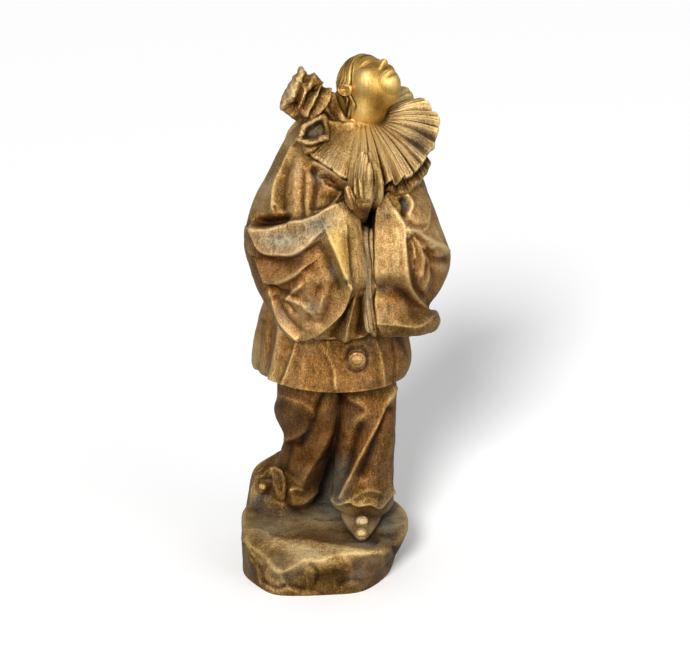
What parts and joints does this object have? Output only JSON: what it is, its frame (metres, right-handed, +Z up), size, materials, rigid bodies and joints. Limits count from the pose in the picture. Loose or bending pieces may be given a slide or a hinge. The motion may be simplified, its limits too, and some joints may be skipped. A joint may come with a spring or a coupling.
{
  "type": "commedia dell'arte clown statuette",
  "caption": "Cast bronze statuette of a stock stage clown in a pleated ruff and wide sleeves, head thrown back and palms together, standing on a rock cast with it.",
  "frame": {"origin": "on the ground plane, under the middle of the casting's bounding box", "axes": "+Z up from the underside to the cap; the figure's chest faces -Y and its left hand side is +X"},
  "size_m": [0.1492, 0.1206, 0.3817],
  "materials": {
    "bronze": "brown patina rubbed to gold on the ridges, satin"
  },
  "bodies": {
    "root": {"figure_on_rock": "bronze"}
  },
  "joints": []
}
